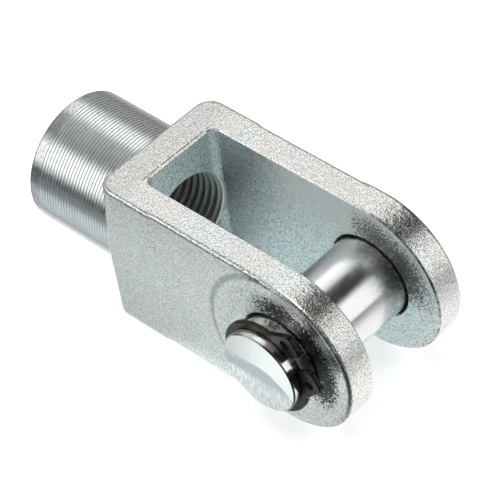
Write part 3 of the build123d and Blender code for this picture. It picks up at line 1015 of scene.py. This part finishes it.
def turned_profile():
    """(x, depth below the surface) along the shank, between its two rims."""
    start = SHANK_REAR + PLAIN_BAND
    groove = (1.0 - LAND_SHARE) * RING_PITCH
    land = LAND_SHARE * RING_PITCH
    stations = [(start, 0.0)]
    for ring in range(RING_COUNT):
        left = start + ring * RING_PITCH
        stations.append((left + groove * 0.5, GROOVE_DEPTH))
        stations.append((left + groove, LIP_DEPTH))
        stations += [(left + groove + land * share, 0.0) for share in LAND_FLAT]
        stations.append((left + RING_PITCH, LIP_DEPTH))
    return stations


loops = [rear_rim]
for x, depth in turned_profile():
    share = (SHANK_RADIUS - depth) / SHANK_RADIUS
    loops.append([fork_shape.verts.new((x, v.co.y * share, v.co.z * share)) for v in rear_rim])
loops.append(front_rim)
for before, after in zip(loops, loops[1:]):
    for i in range(len(before)):
        j = (i + 1) % len(before)
        fork_shape.faces.new((before[i], before[j], after[j], after[i]))
bmesh.ops.recalc_face_normals(fork_shape, faces=fork_shape.faces)
print(RING_COUNT, "grooves on the shank")

# %% [markdown]
# ### Which finish goes where
#
# The faces are sorted by place, and the rounded edges also by which way they look. The bore, the turned
# shank and shoulder, the pin holes and the slot are machined, the upper edges are rubbed, and everything
# else keeps the forging's blasted grain.

# %% Sort the fork's faces by finish
BORE_REACH = 10.1 * MM  # from the rod's axis, with the bore's rim
BORE_LOOKS_OUT = 0.9  # a face that looks this much along the rod isn't the bore's wall
HOLE_REACH = 8.9 * MM  # from the pin's axis, with the hole's chamfer
FINISHES = (blasted, turned, bore_shade_metal, slot_zinc, worn_edge, hole_shade_metal)
BLASTED, TURNED, BORE, SLOT, EDGE, HOLE = range(len(FINISHES))
EDGE_LEAN = 0.25  # how far a rounded edge's normal leans both up and out
EDGE_FLOOR = 12.0 * MM  # only upper edges are rubbed
EDGE_END = -2.0 * MM  # and none on the arms' round ends
EDGE_INNER = 10.0 * MM  # nearer to the middle only the edges across the rod are
HALF_SLOT = 8.575 * MM
SLOT_ROOT = -34.9 * MM
INSIDE = 0.05 * MM

for face in fork_shape.faces:
    middle = face.calc_center_median()
    from_rod = max(math.hypot(v.co.y, v.co.z) for v in face.verts)
    from_pin = max(math.hypot(v.co.x, v.co.z) for v in face.verts)
    leans = abs(face.normal.z) > EDGE_LEAN and max(abs(face.normal.y), abs(face.normal.x)) > EDGE_LEAN
    leans = leans and (abs(middle.y) > EDGE_INNER or abs(face.normal.y) < EDGE_LEAN)
    above = middle.z > EDGE_FLOOR and middle.x < EDGE_END
    in_bore = middle.x < SLOT_ROOT + NEAR and abs(face.normal.x) < BORE_LOOKS_OUT
    if from_rod < BORE_REACH and in_bore:
        face.material_index = BORE
    elif from_pin < HOLE_REACH:
        face.material_index = HOLE
    elif middle.x < SHOULDER + NEAR:
        face.material_index = TURNED
    elif leans and above:
        face.material_index = EDGE
    elif abs(middle.y) < HALF_SLOT + INSIDE and middle.x > SLOT_ROOT - INSIDE:
        face.material_index = SLOT
    else:
        face.material_index = BLASTED
for finish in FINISHES:
    fork.data.materials.append(finish)
close_finish(fork, fork_shape)
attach(fork, "fork")
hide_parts("fork_body")

# %% [markdown]
# ## Thread in the bore
#
# An M18 x 1.5 thread runs from the shank's free end to the slot. It is one ridge on a helix, so it is
# built that way: a four-point section carried round the axis and forward by one pitch each turn, its
# foot sunk a little into the bore's wall. It rises out of the wall over the first part of a turn, and
# the slot cuts it off flat.

# %% Thread
PITCH = 1.5 * MM
STEPS_PER_TURN = 72
BORE_RADIUS = 9.0 * MM
CREST_RADIUS = 8.40 * MM
CREST_HALF = 0.1875 * MM  # half the crest's width along the rod
FOOT_HALF = 0.656 * MM
SUNK = 0.02 * MM
FOOT_RADIUS = BORE_RADIUS + SUNK
THREAD_REAR = -61.5 * MM
RUN_IN = 0.4  # turns
SPARE_TURNS = 0.8  # past the slot's root, to be cut off

turns = (SLOT_ROOT - THREAD_REAR) / PITCH + SPARE_TURNS
thread_shape = bmesh.new()
section = []
for step in range(int(turns * STEPS_PER_TURN) + 1):
    turn = step / STEPS_PER_TURN
    angle = 2 * math.pi * turn
    x = THREAD_REAR + turn * PITCH
    crest = FOOT_RADIUS + (CREST_RADIUS - FOOT_RADIUS) * min(1.0, turn / RUN_IN)
    corners = [(-FOOT_HALF, FOOT_RADIUS), (-CREST_HALF, crest), (CREST_HALF, crest), (FOOT_HALF, FOOT_RADIUS)]
    ring = []
    for along, out in corners:
        ring.append(thread_shape.verts.new((x + along, out * math.cos(angle), out * math.sin(angle))))
    if section:
        for i in range(4):
            j = (i + 1) % 4
            thread_shape.faces.new((section[i], section[j], ring[j], ring[i]))
    else:
        thread_shape.faces.new(ring)
    section = ring
thread_shape.faces.new(list(reversed(section)))
bmesh.ops.bisect_plane(
    thread_shape,
    geom=thread_shape.verts[:] + thread_shape.edges[:] + thread_shape.faces[:],
    plane_co=(SLOT_ROOT - SUNK, 0, 0),
    plane_no=(1, 0, 0),
    clear_outer=True,
)
open_edges = [e for e in thread_shape.edges if e.is_boundary]
bmesh.ops.holes_fill(thread_shape, edges=open_edges, sides=0)
bmesh.ops.recalc_face_normals(thread_shape, faces=thread_shape.faces)
thread_mesh = bpy.data.meshes.new("bore_thread")
thread = bpy.data.objects.new("bore_thread", thread_mesh)
bpy.context.scene.collection.objects.link(thread)
thread_mesh.materials.append(bore_shade_metal)
close_finish(thread, thread_shape, 40.0)
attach(thread, "fork")

# %% [markdown]
# ## Pin and rings
#
# These are plain turned and stamped pieces, so the CAD meshes are kept as they are and only get their
# finish. A ring of its own mesh would look no better, and would have to be kept in step with the CAD.

# %% Pin and rings
for node, finish in (("clevis_pin", ground), ("near_retaining_ring", black), ("far_retaining_ring", black)):
    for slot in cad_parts[node].material_slots:
        slot.material = finish
    print(node, "is finished in", finish.name)
